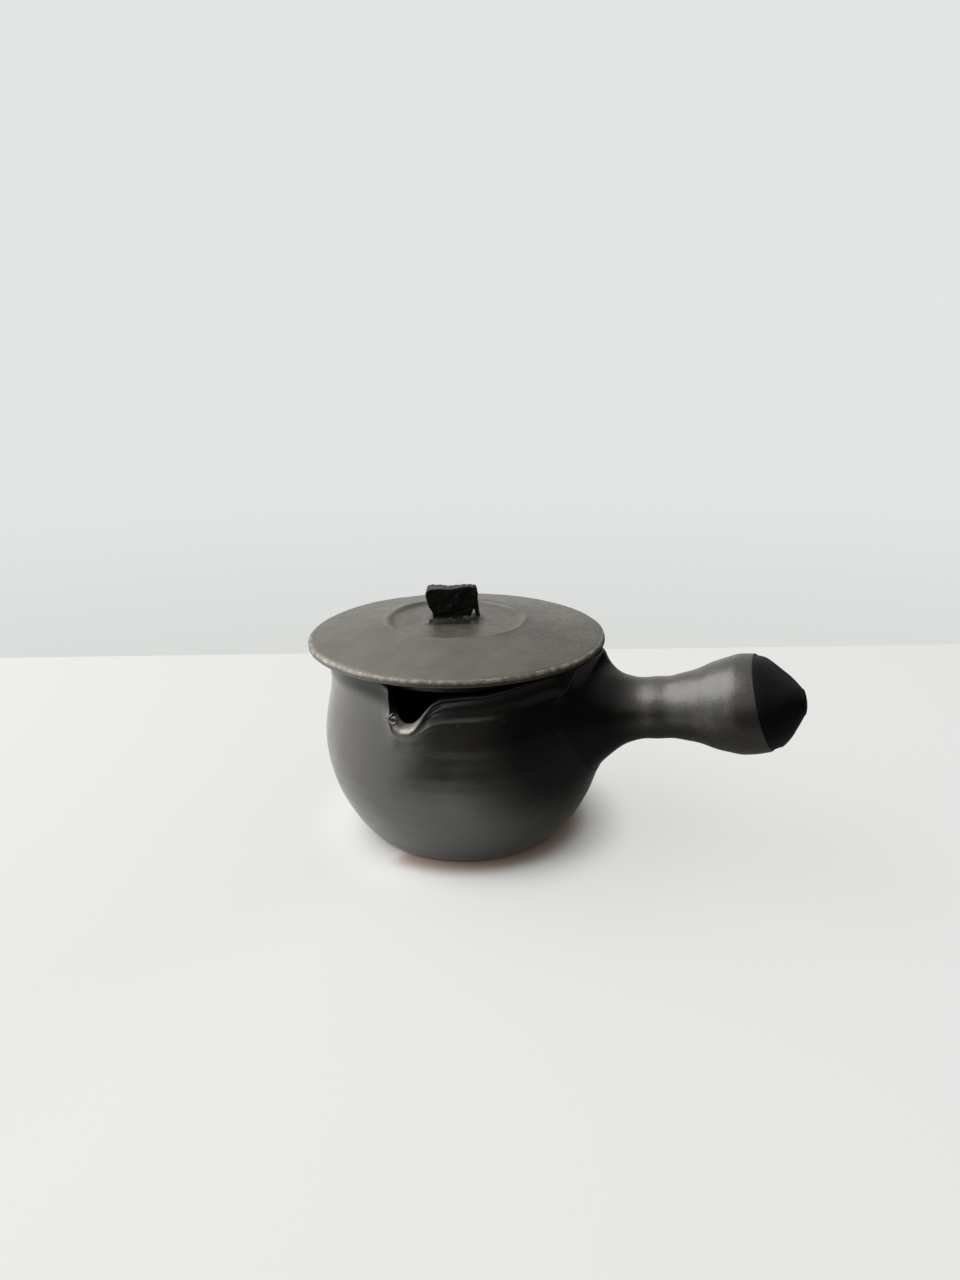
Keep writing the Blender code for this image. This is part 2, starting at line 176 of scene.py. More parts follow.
# Painted shadow: a reddish tint round the pan's foot, on the side away from the window.
painted_foot_shadow_share = combine("MULTIPLY", ramp(from_pan, FOOT_SHADOW_REACH, FOOT_EDGE), ramp(lit_share, 0.5, 0.0))
looked_at = tint(painted_foot_shadow_share, looked_at, (0.48, 0.37, 0.32))
feed(table_shader, Base_Color=tint(seen_share, bounced, looked_at))
half_seen = combine("MULTIPLY", seen_share, ramp(from_pan, FOOT_EDGE, EVEN_REACH, 0.0, 0.80))
seen_below = combine("MULTIPLY", add_node(table_tree, "NewGeometry").outputs["Backfacing"], seen_share)
table_look = table_shader.outputs[0]
table_glow = add_node(table_tree, "Emission", {"Color": (0.755, 0.768, 0.755, 1)})
for table_share, other in ((half_seen, table_glow), (seen_below, add_node(table_tree, "BsdfTransparent"))):
    table_look = add_node(table_tree, "MixShader", {0: table_share, 1: table_look, 2: other.outputs[0]}).outputs[0]
feed(table_tree.nodes["Material Output"], Surface=table_look)
corners = [(-TABLE_HALF, -TABLE_HALF), (TABLE_HALF, -TABLE_HALF), (TABLE_HALF, TABLE_BACK), (-TABLE_HALF, TABLE_BACK)]
table = lay_mesh("table", [(x, y, -TABLE_DROP) for x, y in corners], [(0, 1, 2, 3)], table_finish)
table.data.transform(Matrix.Rotation(CAMERA_TURN, 4, "Z"))


# Light: one broad soft window on the left, a little behind. The room is dim, with a glow on the window's side and
# a weaker one overhead. The wall that the camera sees keeps a pale tone of its own, painted darker towards the
# table as painted shade.

WINDOW_SIDE = math.radians(95)
WINDOW_HEIGHT = math.radians(41)
WINDOW_DISTANCE = 0.85
WINDOW_AIM = Vector((0, 0, 0.05))

window_turn = CAMERA_TURN - WINDOW_SIDE
level_share = math.cos(WINDOW_HEIGHT)
to_window = Vector((math.sin(window_turn) * level_share, -math.cos(window_turn) * level_share, math.sin(WINDOW_HEIGHT)))
window_light = bpy.data.lights.new("window", "AREA")
window_light.shape = "RECTANGLE"
window_light.size, window_light.size_y = 1.10, 1.05
window_light.energy = 10.5
window_light.color = (1.0, 0.995, 0.97)
window = bpy.data.objects.new("window", window_light)
window.location = WINDOW_AIM + to_window * WINDOW_DISTANCE
window.rotation_euler = to_window.to_track_quat("Z", "Y").to_euler()
bpy.context.scene.collection.objects.link(window)

world = bpy.data.worlds.new("room")
world.use_nodes = True
bpy.context.scene.world = world
room = world.node_tree
direction = add_node(room, "TexCoord").outputs["Generated"]
by_window = towards_window(combine_ways("NORMALIZE", level_part(direction)))
climb = part_of(direction, "Z")
wall_glow = ramp(by_window, 0.0, 0.42, 0.0, 0.88)
lean = add_node(room, "Math", {0: by_window, 1: 0.30, 2: climb}, operation="MULTIPLY_ADD").outputs[0]
glow = combine("MAXIMUM", wall_glow, ramp(lean, -0.05, 0.30, 0.0, 0.60))
dim = tint(glow, (0.010, 0.009, 0.008), (1.0, 1.0, 0.975))
# Painted shade: the wall that the camera sees darkens towards the table.
wall_tone = tint(ramp(climb, -0.33, -0.12), (0.695, 0.71, 0.695), (0.765, 0.785, 0.775))
seen = tint(add_node(room, "LightPath").outputs["Is Camera Ray"], dim, wall_tone)
feed(room.nodes["Background"], Color=seen)


# Bowl: the pot, thrown in one from a dark grainy stoneware, round-bellied on a flat base.
# Its rim is an upright collar, and a pouring lip is pushed down and drawn out of it, torn on its left.

POT_HEIGHT = 0.0921
BELLY_RADIUS = 0.0671
BELLY_HEIGHT = 0.0490
BASE_RADIUS = 0.0478
BASE_ROUND = 0.0020
NECK_RADIUS = 0.0612
NECK_HEIGHT = 0.0783
COLLAR_SWELL = 0.0016
COLLAR_BLEND = 0.0060
COLLAR_RADIUS = NECK_RADIUS + COLLAR_SWELL
WALL = 0.0042
FOOT_WALL = 0.0062
FLOOR = 0.0055
FLOOR_ROUND = 0.0040
LOWER_CURVE = 2.2
UPPER_CURVE = 1.55
LIP_WIDTH = 0.0216
LIP_DEPTH = 0.0180
LIP_REACH = 0.0012
LIP_ROLL = 0.0090
LIP_TURN = math.radians(112)
LIP_THINNING = 0.42
TEAR_SHARE = 0.66
PULL_FOOT = 0.0600
NECK_FILL = 0.0019
NECK_FILL_REACH = 0.0120
NECK_FILL_ANGLES = (0.45, 0.95)
# The soft clay gives beside the lip: how much, at what angle off it, and over what spread of angle
SHOULDER_SWELL = (0.0022, 0.50, 0.42)
SHOULDER_HEIGHT = 0.0672
SHOULDER_SPREAD = 0.0098
NECK_CLIMBS = (0.0028, 0.55, 0.42), (0.0012, 1.10, 0.40)
NECK_CLIMB_SPREAD = 0.0085
STILL_RADIUS = 0.0450
LEFT_BELLY_MIDDLE = (-0.0500, -0.0420, 0.0580)
LIP_HIGHLIGHT_MIDDLE = (-0.0010, -0.0675, 0.0700)
SHADED_ROOT_MIDDLE = (0.0600, -0.0300, 0.0660)
PAINTED_SHADE_CLAY = (0.0035, 0.0034, 0.0032)
PIT_CLAY = (0.004, 0.004, 0.004)
# Each row: place across the lip as a share of half its width, then shares of its depth, reach and outward roll
LIP_SHARES = np.array(
    [
        (-2.60, 0.00, 0.00, 0.00),
        (-1.70, 0.04, 0.18, 0.05),
        (-1.15, 0.10, 0.45, 0.10),
        (-0.88, 0.15, 0.80, 0.20),
        (-0.70, 0.22, 1.30, 0.55),
        (-0.62, 0.70, 1.30, 0.80),
        (-0.48, 0.90, 1.10, 0.95),
        (-0.22, 1.00, 1.00, 1.00),
        (0.12, 0.97, 1.00, 1.00),
        (0.36, 0.85, 0.95, 1.00),
        (0.55, 0.69, 0.92, 0.95),
        (0.72, 0.53, 0.90, 0.85),
        (1.00, 0.38, 0.80, 0.60),
        (1.35, 0.29, 0.65, 0.40),
        (2.10, 0.25, 0.50, 0.30),
        (2.80, 0.25, 0.40, 0.26),
        (3.60, 0.20, 0.30, 0.18),
        (4.60, 0.11, 0.15, 0.10),
        (5.60, 0.03, 0.05, 0.03),
        (6.60, 0.00, 0.00, 0.00),
    ]
)


def steps(*stretches):
    """One run of numbers from stretches of (start, end, how many), each without its end, and then the last end."""
    parts = [np.linspace(start, end, count, endpoint=False) for start, end, count in stretches]
    return np.concatenate(parts + [[stretches[-1][1]]])


def eased(x, places, values, width):
    """Straight lines between the table's points, averaged over a window of the given half width."""
    return sum(np.interp(x + shift, places, values) for shift in np.linspace(-width, width, 9)) / 9


def rise(x, start, end):
    """Smooth step from 0 to 1: three times the square less twice the cube of the share."""
    share = np.clip((x - start) / (end - start), 0, 1)
    return share * share * (3 - 2 * share)


def hump(x, middle, width):
    """Bell curve, 1 in the middle."""
    return np.exp(-(((x - middle) / width) ** 2))


def unevenness(points, size, seed, count=20):
    """Sum of sine waves of about the given length, with seeded random directions and phases, from about -1 to 1."""
    draw = np.random.default_rng(seed)
    ways = draw.normal(size=(count, 3))
    ways /= np.linalg.norm(ways, axis=1, keepdims=True) * (size * draw.uniform(0.7, 1.5, (count, 1)))
    phases = draw.uniform(0, math.tau, count)
    waves = [np.sin(points @ way * math.tau + phase) for way, phase in zip(ways, phases)]
    return sum(waves) / math.sqrt(count)


def facing_out(rows):
    """Outward direction at each point of a grid that closes sideways: across the grid cross along it."""
    along = np.gradient(rows, axis=0)
    across = np.roll(rows, -1, axis=1) - np.roll(rows, 1, axis=1)
    out = np.cross(across, along)
    return out / np.maximum(np.linalg.norm(out, axis=-1, keepdims=True), 1e-12)


def press(rows, amount):
    """Moves each point of the grid out by the amount, along the direction that it faces."""
    return rows + facing_out(rows) * amount[..., None]


def turned(radius, height, angles):
    """Grid of points at each radius and height, for each angle round +Z."""
    radius, height, angles = np.broadcast_arrays(radius, height, angles)
    return np.stack([radius * np.cos(angles), radius * np.sin(angles), height], axis=-1)


def skin(name, rows, start, end, finish):
    """Mesh of a grid that closes sideways: four neighbours make a face, and each end closes on its own point."""
    count, around = rows.shape[:2]
    index = np.arange(count * around).reshape(count, around)
    beside = np.roll(index, -1, axis=1)
    faces = np.stack([index[:-1], beside[:-1], beside[1:], index[1:]], axis=-1).reshape(-1, 4).tolist()
    first = np.full(around, count * around)
    faces += np.stack([beside[0], index[0], first], axis=-1).tolist()
    faces += np.stack([index[-1], beside[-1], first + 1], axis=-1).tolist()
    points = np.concatenate([rows.reshape(-1, 3), [start, end]])
    made = lay_mesh(name, points.tolist(), faces, finish)
    made.data.shade_smooth()
    return made


def pot_wall(height, foot_height=0, foot_radius=BASE_RADIUS, inset=0):
    """Radius of the wall: a power curve from foot to belly, another in to the neck, then a quarter sine out."""
    below = np.clip((BELLY_HEIGHT - height) / (BELLY_HEIGHT - foot_height), 0, 1)
    above = np.clip((height - BELLY_HEIGHT) / (NECK_HEIGHT - BELLY_HEIGHT), 0, 1)
    collar = np.clip((height - NECK_HEIGHT) / COLLAR_BLEND, 0, 1)
    radius = BELLY_RADIUS - inset - (BELLY_RADIUS - inset - foot_radius) * below**LOWER_CURVE
    return radius - (BELLY_RADIUS - NECK_RADIUS) * above**UPPER_CURVE + COLLAR_SWELL * np.sin(collar * np.pi / 2)


def pot_outline():
    """Radius and height along the section, from the base out, up the wall, over the rim and down to the floor."""
    corner = np.linspace(0, 1, 7)[:-1]
    low = pot_wall(BASE_ROUND)
    edge = (1 - corner) ** 2 * (BASE_RADIUS - BASE_ROUND) + 2 * corner * (1 - corner) * BASE_RADIUS + corner**2 * low
    edge_height = corner**2 * BASE_ROUND
    rim_foot = POT_HEIGHT - WALL / 2
    up = steps((BASE_ROUND, BELLY_HEIGHT, 40), (BELLY_HEIGHT, NECK_HEIGHT, 36), (NECK_HEIGHT, rim_foot, 24))[:-1]
    over = np.linspace(0, np.pi, 18)
    down = steps((rim_foot, NECK_HEIGHT, 12), (NECK_HEIGHT, BELLY_HEIGHT, 18), (BELLY_HEIGHT, FLOOR + FLOOR_ROUND, 18))
    inside = pot_wall(down, FLOOR, pot_wall(FLOOR) - FOOT_WALL, WALL)
    foot = inside[-1] - FLOOR_ROUND * np.sin(np.linspace(0, np.pi / 2, 7)[1:])
    foot_height = FLOOR + FLOOR_ROUND * (1 - np.cos(np.linspace(np.pi / 2, 0, 7)[1:]))
    base = np.linspace(0.004, BASE_RADIUS - BASE_ROUND, 9)[:-1]
    floor = np.linspace(foot[-1], 0.003, 9)[1:]
    radius = [base, edge, pot_wall(up), COLLAR_RADIUS - WALL / 2 + WALL / 2 * np.cos(over)]
    height = [base * 0, edge_height, up, rim_foot + WALL / 2 * np.sin(over)]
    radius += [inside[1:], foot, floor]
    height += [down[1:], foot_height, floor * 0 + FLOOR]
    return np.concatenate(radius)[:, None], np.concatenate(height)[:, None]


def pot_angles():
    """Angles round the pot, from one side of the lip to the other and on round, closest at the tear."""
    tear = -math.pi / 2 - TEAR_SHARE * LIP_WIDTH / 2 / COLLAR_RADIUS
    before, near, wide, root = 0.12, 0.02, 0.42, 0.50
    stretches = (tear - before, tear - near, 26), (tear - near, tear + near, 44), (tear + near, tear + wide, 92)
    stretches += (tear + wide, -root, 26), (-root, root, 84), (root, tear - before + math.tau, 116)
    return steps(*stretches)[:-1]


def roll_out(radius, height, share):
    """Bends the top of the wall outwards along an arc, further towards the rim, and thins it there."""
    start = POT_HEIGHT - LIP_ROLL
    middle = COLLAR_RADIUS - WALL / 2
    along = np.clip(height - start, 0, None)
    across = (radius - middle) * (1 - LIP_THINNING * share * along / LIP_ROLL)
    bend = np.maximum(LIP_TURN * share / LIP_ROLL, 0.01)
    rolled = middle + (1 - np.cos(bend * along)) / bend + across * np.cos(bend * along)
    raised = start + np.sin(bend * along) / bend - across * np.sin(bend * along)
    top = height > start
    return np.where(top, rolled, radius), np.where(top, raised, height)


def shape_pot():
    """The turned section, filled at its neck and swollen beside the lip, then pulled down and out at the lip.

    The fill fades as a square off the neck line. The swell, and the neck line's climb towards the handle, are bell
    curves round the pot and up its wall.
    """
    angles = pot_angles()[None, :]
    radius, height = pot_outline()
    off_lip = np.mod(angles + math.pi / 2 + math.pi, math.tau) - math.pi
    share = off_lip * COLLAR_RADIUS / (LIP_WIDTH / 2)
    fill = NECK_FILL * np.clip(1 - np.abs(height - NECK_HEIGHT) / NECK_FILL_REACH, 0, 1) ** 2
    fill = fill * rise(np.abs(np.mod(angles + math.pi, math.tau) - math.pi), *NECK_FILL_ANGLES)
    fill = np.where(radius > pot_wall(height, inset=0.0015), fill, 0)
    swell, *swell_angles = SHOULDER_SWELL
    in_wall = radius > STILL_RADIUS
    fill = fill + swell * hump(off_lip, *swell_angles) * hump(height, SHOULDER_HEIGHT, SHOULDER_SPREAD) * in_wall
    climb = sum(amount * hump(off_lip, *angles) for amount, *angles in NECK_CLIMBS)
    height = height + climb * hump(height, NECK_HEIGHT, NECK_CLIMB_SPREAD) * in_wall
    dip = eased(share, LIP_SHARES[:, 0], LIP_SHARES[:, 1], 0.05)
    reach = eased(share, LIP_SHARES[:, 0], LIP_SHARES[:, 2], 0.12)
    roll = eased(share, LIP_SHARES[:, 0], LIP_SHARES[:, 3], 0.08)
    pull = np.clip((height - PULL_FOOT) / (POT_HEIGHT - PULL_FOOT), 0, None)
    foot = pot_wall(PULL_FOOT)
    drawn = foot + (COLLAR_RADIUS + LIP_REACH - foot) * pull
    outside = pot_wall(height)
    radius, height = roll_out(radius + fill, height, roll)
    radius = radius + np.where(pull > 0, (drawn - outside) * reach, 0)
    height = height - LIP_DEPTH * dip * pull
    return turned(radius, height, angles)


def roughen_pot(rows):
    """Slow swells and faint throwing rings, none on the base or under the lid."""
    height = rows[..., 2]
    angle = np.arctan2(rows[..., 1], rows[..., 0])
    free = rise(height, 0.001, 0.006) * (1 - 0.8 * rise(height, 0.088, 0.0905))
    spiral = height / 0.0068 + angle / math.tau
    rings = np.sin(math.tau * (spiral + 0.25 * unevenness(rows, 0.05, 3)))
    swell = 0.00022 * unevenness(rows, 0.055, 5) + 0.00004 * unevenness(rows, 0.014, 7)
    return press(rows, free * (swell + 0.00002 * rings))


def stoneware_grain(place, size, amount, seed, detail=4.0):
    """Fine noise on the object's own coordinates: its value, from 0 to 1, at the given size in metres."""
    wires = {"Vector": place, "W": seed, "Scale": 1 / size, "Detail": detail, "Roughness": amount}
    return add_node(place.id_data, "TexNoise", wires, noise_dimensions="4D").outputs["Fac"]


def ring_noise(place, pitch, seed, spread=0.004):
    """Noise that runs round the Z axis: its inputs are the distance from the axis, the height and a little turn."""
    flat = level_part(place)
    wires = {0: combine_ways("NORMALIZE", flat), "Scale": spread}
    turn = add_node(place.id_data, "VectorMath", wires, operation="SCALE").outputs["Vector"]
    run = combine("ADD", combine_ways("LENGTH", flat), part_of(turn, "X"))
    climb = combine("ADD", part_of(place, "Z"), part_of(turn, "Y"))
    spot = add_node(place.id_data, "CombineXYZ", {"X": run, "Y": climb}).outputs[0]
    return stoneware_grain(spot, pitch, 0.6, seed, 3.0)


def specks(place, size, radius, seed):
    """Scattered round spots: 1 in the middle of each, 0 outside it. The radius is a share of the spacing."""
    wires = {"Vector": place, "W": seed, "Scale": 1 / size}
    far = add_node(place.id_data, "TexVoronoi", wires, voronoi_dimensions="4D").outputs["Distance"]
    return ramp(far, 0.0, radius, 1.0, 0.0)


def add_relief(shader, heights, pits=None, pit_depth=0.0):
    """Adds bumps in turn, each (value, height in metres), and last the pits, which go inwards."""
    if pits:
        heights = heights + [(combine("MULTIPLY", pits, -1.0), pit_depth)]
    last = None
    for value, height in heights:
        wires = {"Height": value, "Distance": height}
        if last:
            wires["Normal"] = last
        last = add_node(shader.id_data, "Bump", wires).outputs["Normal"]
    feed(shader, Normal=last)


def fire_pot():
    """Dark iron stoneware, matt to satin: near black, browner in slow patches, with grain, pits and pale flecks.

    It is painted lighter and warmer left on the belly as painted light, pale on the lip as a painted highlight,
    and darker and duller by the handle and under the lid as painted shade.
    """
    material, shader, place = new_finish("dark_stoneware", 0.36, 1.0)
    low = part_of(place, "Z")
    facing = part_of(add_node(place.id_data, "NewGeometry").outputs["Normal"], "Z")
    middles = (LEFT_BELLY_MIDDLE, LIP_HIGHLIGHT_MIDDLE, SHADED_ROOT_MIDDLE)
    from_left_belly, from_lip, from_root = (combine_ways("DISTANCE", place, middle) for middle in middles)
    patches = stoneware_grain(place, 0.030, 0.5, 1.0)
    grain = stoneware_grain(place, 0.0011, 0.7, 2.0)
    rings = ring_noise(place, 0.0022, 3.0)
    brown = tint(ramp(patches, 0.40, 0.68), (0.0035, 0.0035, 0.0033), (0.011, 0.0092, 0.0078))
    # Painted light: lighter and warmer on the left of the belly, where the window's light falls.
    painted_light_share = combine("MULTIPLY", ramp(from_left_belly, 0.050, 0.012), ramp(patches, 0.25, 0.60, 0.5, 1.0))
    painted_light_tone = tint(painted_light_share, brown, (0.022, 0.0155, 0.012))
    worn = tint(ramp(grain, 0.45, 0.80, 0.0, 0.6), painted_light_tone, (0.020, 0.018, 0.0155))
    # Painted shade: darker and less shiny near the handle's root and under the lid's edge, where shade falls.
    painted_shade = combine("MAXIMUM", ramp(from_root, 0.049, 0.021), ramp(low, 0.077, 0.086, 0.0, 0.85))
    worn = tint(painted_shade, worn, PAINTED_SHADE_CLAY)
    # Painted highlight: pale on the upward faces of the pouring lip.
    painted_lip_highlight = combine("MULTIPLY", ramp(from_lip, 0.014, 0.008), ramp(facing, 0.05, 0.60))
    worn = tint(painted_lip_highlight, worn, (0.32, 0.30, 0.265))
    pits = specks(place, 0.0085, 0.05, 4.0)
    flecks = combine("MULTIPLY", specks(place, 0.0042, 0.18, 5.0), ramp(from_left_belly, 0.090, 0.045, 0.25, 1.0))
    flecked = tint(flecks, tint(pits, worn, PIT_CLAY), (0.24, 0.20, 0.16))
    toasted = tint(ramp(low, 0.0045, 0.0008), flecked, (0.085, 0.045, 0.030))
    satin = ramp(stoneware_grain(place, 0.006, 0.6, 6.0), 0.25, 0.75, 0.27, 0.33)
    shine = ramp(painted_shade, 0.0, 1.0, 1.0, 0.28)
    feed(shader, Base_Color=toasted, Roughness=satin, Specular_IOR_Level=shine)
    heights = [(rings, 0.00005), (stoneware_grain(place, 0.0034, 0.6, 7.0), 0.00005), (grain, 0.00004)]
    add_relief(shader, heights, pits, 0.00012)
    return material


bowl_rows = roughen_pot(shape_pot())
bowl = skin("thrown_bowl", bowl_rows, (0, 0, 0), (0, 0, FLOOR), fire_pot())
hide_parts("bowl")
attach(bowl, "pot")


# Torn edge: a small scroll of clay that a finger dragged over at the left end of the pouring lip.
# It is the pot's own clay, curled up on itself and fired on, and it tapers to a point.

CURL_MIDDLE = (-0.0055, -0.0668, 0.0760)
CURL_OUTER = 0.0022
CURL_INNER = 0.0008
CURL_START = math.radians(100)
CURL_TURNS = 1.2
CURL_HALF_THICK = 0.00045
CURL_HALF_DEPTH = 0.0011
CURL_DRIFT = 0.0006


def shape_curl():
    """Ellipse swept along a level spiral: radius and section shrink along it, and it drifts out from the wall."""
    share = np.linspace(0, 1, 110)[:, None]
    around = np.linspace(0, math.tau, 32, endpoint=False)[None, :]
    turn = CURL_START + CURL_TURNS * math.tau * share
    size = np.sqrt(1 - 0.97 * share**3)
    radius = CURL_OUTER + (CURL_INNER - CURL_OUTER) * share + CURL_HALF_THICK * size * np.cos(around)
    out = CURL_HALF_DEPTH * size * np.sin(around) - CURL_DRIFT * share
    return np.stack([radius * np.cos(turn), out, radius * np.sin(turn)], axis=-1) + np.array(CURL_MIDDLE)


curl_rows = shape_curl()
curl_rows = press(curl_rows, 0.00008 * unevenness(curl_rows, 0.0016, 51))
curl_ends = [tuple(curl_rows[end].mean(axis=0)) for end in (0, -1)]
curl = skin("lip_curl", curl_rows, *curl_ends, bowl.data.materials[0])
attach(curl, "pot")


# Handle: thrown by itself as a small closed bottle, luted on by its flared root and hollow inside.
# Its end was pared with a knife from a leaning line, which left a crisp step and a blunt, lumpy nose.

HANDLE_HEIGHT = 0.0646
HANDLE_DROP = 0.0275
HANDLE_TILT = math.radians(9.4)
HANDLE_LENGTH = 0.0908
GRIP_DISTANCE = 0.0248
GRIP_RADIUS = 0.0139
BULB_DISTANCE = 0.0643
BULB_RADIUS = 0.0219
ROOT_RADIUS = 0.0264
ROOT_DISTANCE = 0.0005
ROOT_CURVE = 2.85
ROOT_WRAP = 4
BULB_CURVE = 1.4
END_REACH = 0.0060
NOSE_RADIUS = 0.0060
NOSE_ROUND = 0.0015
PARED_LENGTH = 0.0163
PARED_STEP = 0.0003
PARED_SKEW = 0.0027
PARED_CURVE = 1.7
RING_PITCH = 0.0125
RING_DEPTH = 0.00014
SPREAD_SLOPE = 0.9
SPREAD_ROUND = 0.00085
SEAM_REACH = 0.0095
SEAM_RANGE = 0.045
SEAM_FADE = (0.0810, 0.0895)
ROOT_SUNK = 0.0018
KNIFE_LINE = HANDLE_LENGTH - NOSE_ROUND - PARED_LENGTH
HANDLE_LINES = 220

handle_frame = Matrix.Translation((BELLY_RADIUS, 0, HANDLE_HEIGHT)) @ Matrix.Rotation(math.pi / 2 - HANDLE_TILT, 4, "Y")


def moved(points, transform):
    """The points, turned and shifted by the transform."""
    transform = np.array(transform)
    return points @ transform[:3, :3].T + transform[:3, 3]


def root_share(distance):
    """0 from the grip outwards, rising evenly to 1 at the root's foot."""
    return np.clip((GRIP_DISTANCE - distance) / (GRIP_DISTANCE - ROOT_DISTANCE), 0, 1)


def thrown_radius(distance):
    """Root flare as a power curve, cosine swell from grip to bulb, elliptical end, with soft throwing rings.

    Past its foot the flare goes on as a straight slope, down into the pot's wall.
    """
    rings = RING_DEPTH * np.cos(math.tau * (distance - BULB_DISTANCE) / RING_PITCH)
    share = root_share(distance)
    past_foot = np.clip(ROOT_DISTANCE - distance, 0, None)
    spread = SPREAD_SLOPE * past_foot + SPREAD_ROUND * (1 - np.exp(-past_foot / 0.0015))
    root = GRIP_RADIUS + (ROOT_RADIUS - GRIP_RADIUS) * share**ROOT_CURVE + rings * (1 - share) + spread
    along = np.clip((distance - GRIP_DISTANCE) / (BULB_DISTANCE - GRIP_DISTANCE), 0, 1)
    body = GRIP_RADIUS + (BULB_RADIUS - GRIP_RADIUS) * (1 - np.cos(math.pi * along**BULB_CURVE)) / 2 + rings
    past = np.clip((distance - BULB_DISTANCE) / (HANDLE_LENGTH + END_REACH - BULB_DISTANCE), 0, 1)
    end = (BULB_RADIUS + RING_DEPTH) * np.sqrt(1 - past**2)
    return np.where(distance < GRIP_DISTANCE, root, np.where(distance < BULB_DISTANCE, body, end))


def pared_radius(distance):
    """The knife's taper: from just under the thrown clay in to the nose, by a power curve, and a small round."""
    full = thrown_radius(np.array(KNIFE_LINE)) - PARED_STEP
    share = np.clip((distance - KNIFE_LINE) / PARED_LENGTH, 0, 1)
    nose = np.clip((distance - KNIFE_LINE - PARED_LENGTH) / NOSE_ROUND, 0, 1)
    return (full - (full - NOSE_RADIUS) * share**PARED_CURVE) * np.sqrt(1 - nose**2 * 0.97)


def wrap_root(angle, radius, distance):
    """Bends the root so that its foot lies round the belly and ends under the rim, as the clay was pressed on."""
    share = root_share(distance)
    wall = np.sqrt((BELLY_RADIUS + 0.0003) ** 2 - (radius * np.sin(angle)) ** 2)
    lean = (wall - BELLY_RADIUS) / math.cos(HANDLE_TILT) - radius * np.cos(angle) * math.tan(HANDLE_TILT)
    distance = distance + (lean - ROOT_DISTANCE) * share**ROOT_WRAP
    down = np.minimum(np.cos(angle) * math.cos(HANDLE_TILT), -1e-6)
    rim = (HANDLE_DROP - distance * math.sin(HANDLE_TILT)) / -down
    limited = (share > 0) & (np.cos(angle) < 0)
    return np.where(limited, np.minimum(radius, rim), radius), distance


def handle_points(angle, radius, distance):
    """Points round the handle's axis, set where the handle stands on the pot."""
    return moved(turned(radius, distance, angle), handle_frame)


def halve(low, high, is_past):
    """The place between low and high past which the test holds, found by halving."""
    for _ in range(24):
        middle = (low + high) / 2
        past = is_past(middle)
        low, high = np.where(past, low, middle), np.where(past, middle, high)
    return (low + high) / 2


def outside_wall(point, depth):
    """Whether the point lies further out than this deep in the pot's wall."""
    return np.hypot(point[..., 0], point[..., 1]) > pot_wall(point[..., 2]) - depth


def sunk_in_wall(angle, radius, guess, depth):
    """Distance along the handle at which each line meets the pot's wall, sunk by the depth."""
    return halve(guess - 0.018, guess + 0.004, lambda at: outside_wall(handle_points(angle, radius, at), depth))


def root_points(angle, past_foot):
    """Points of the root's slope, this far past the foot of its flare."""
    distance = np.broadcast_to(ROOT_DISTANCE - past_foot, np.broadcast_shapes(np.shape(angle), np.shape(past_foot)))
    radius, distance = wrap_root(angle, thrown_radius(distance), distance)
    return handle_points(angle, radius, distance)


def reach_wall(angle, depth):
    """How far past the flare's foot each line is this deep in the pot's wall."""
    low, high = np.zeros_like(angle), np.full_like(angle, 0.016)
    return halve(low, high, lambda at: ~outside_wall(root_points(angle, at), depth))


def shape_handle():
    """Lines round the handle's axis: sunk foot, root, grip and bulb, then the step and the pared taper to the nose."""
    angles = np.linspace(0, math.tau, HANDLE_LINES, endpoint=False)[None, :]
    end = HANDLE_LENGTH - NOSE_ROUND
    sunk = reach_wall(angles, ROOT_SUNK) * np.linspace(1, 0, 25)[:-1, None]
    root = np.concatenate([ROOT_DISTANCE - sunk, steps((ROOT_DISTANCE, GRIP_DISTANCE, 64))[:, None] + 0 * angles])
    body = steps((GRIP_DISTANCE, BULB_DISTANCE, 74), (BULB_DISTANCE, KNIFE_LINE, 20))[1:, None]
    lean = PARED_SKEW * np.cos(angles)
    radius, distance = wrap_root(angles, thrown_radius(root), root)
    body_at = body + lean * rise(body, BULB_DISTANCE - 0.012, KNIFE_LINE)
    body_radius = thrown_radius(body_at)
    taper = steps((KNIFE_LINE, end, 58), (end, HANDLE_LENGTH, 10))[:-1, None]
    taper_at = taper + lean * np.clip((HANDLE_LENGTH - taper) / (HANDLE_LENGTH - KNIFE_LINE), 0, 1)
    taper_radius = np.minimum(pared_radius(taper), thrown_radius(taper_at) - PARED_STEP)
    foot_radius = radius[:1] * np.array([0.08, 0.3, 0.5, 0.7, 0.85, 0.95])[:, None]
    foot = sunk_in_wall(angles, foot_radius, distance[:1], ROOT_SUNK)
    radii, distances = (
        np.concatenate([np.broadcast_to(part, (len(part), HANDLE_LINES)) for part in parts])
        for parts in ([foot_radius, radius, body_radius, taper_radius], [foot, distance, body_at, taper_at])
    )
    return handle_points(angles, radii, distances)


def wall_facing(points):
    """Outward direction of the pot's wall at these points: out from the axis, tilted by the slope of the section."""
    height = points[..., 2]
    slope = (pot_wall(height + 0.0002) - pot_wall(height - 0.0002)) / 0.0004
    out = points[..., :2] / np.hypot(points[..., 0], points[..., 1])[..., None]
    facing = np.concatenate([out, -slope[..., None]], axis=-1)
    return facing / np.linalg.norm(facing, axis=-1, keepdims=True)


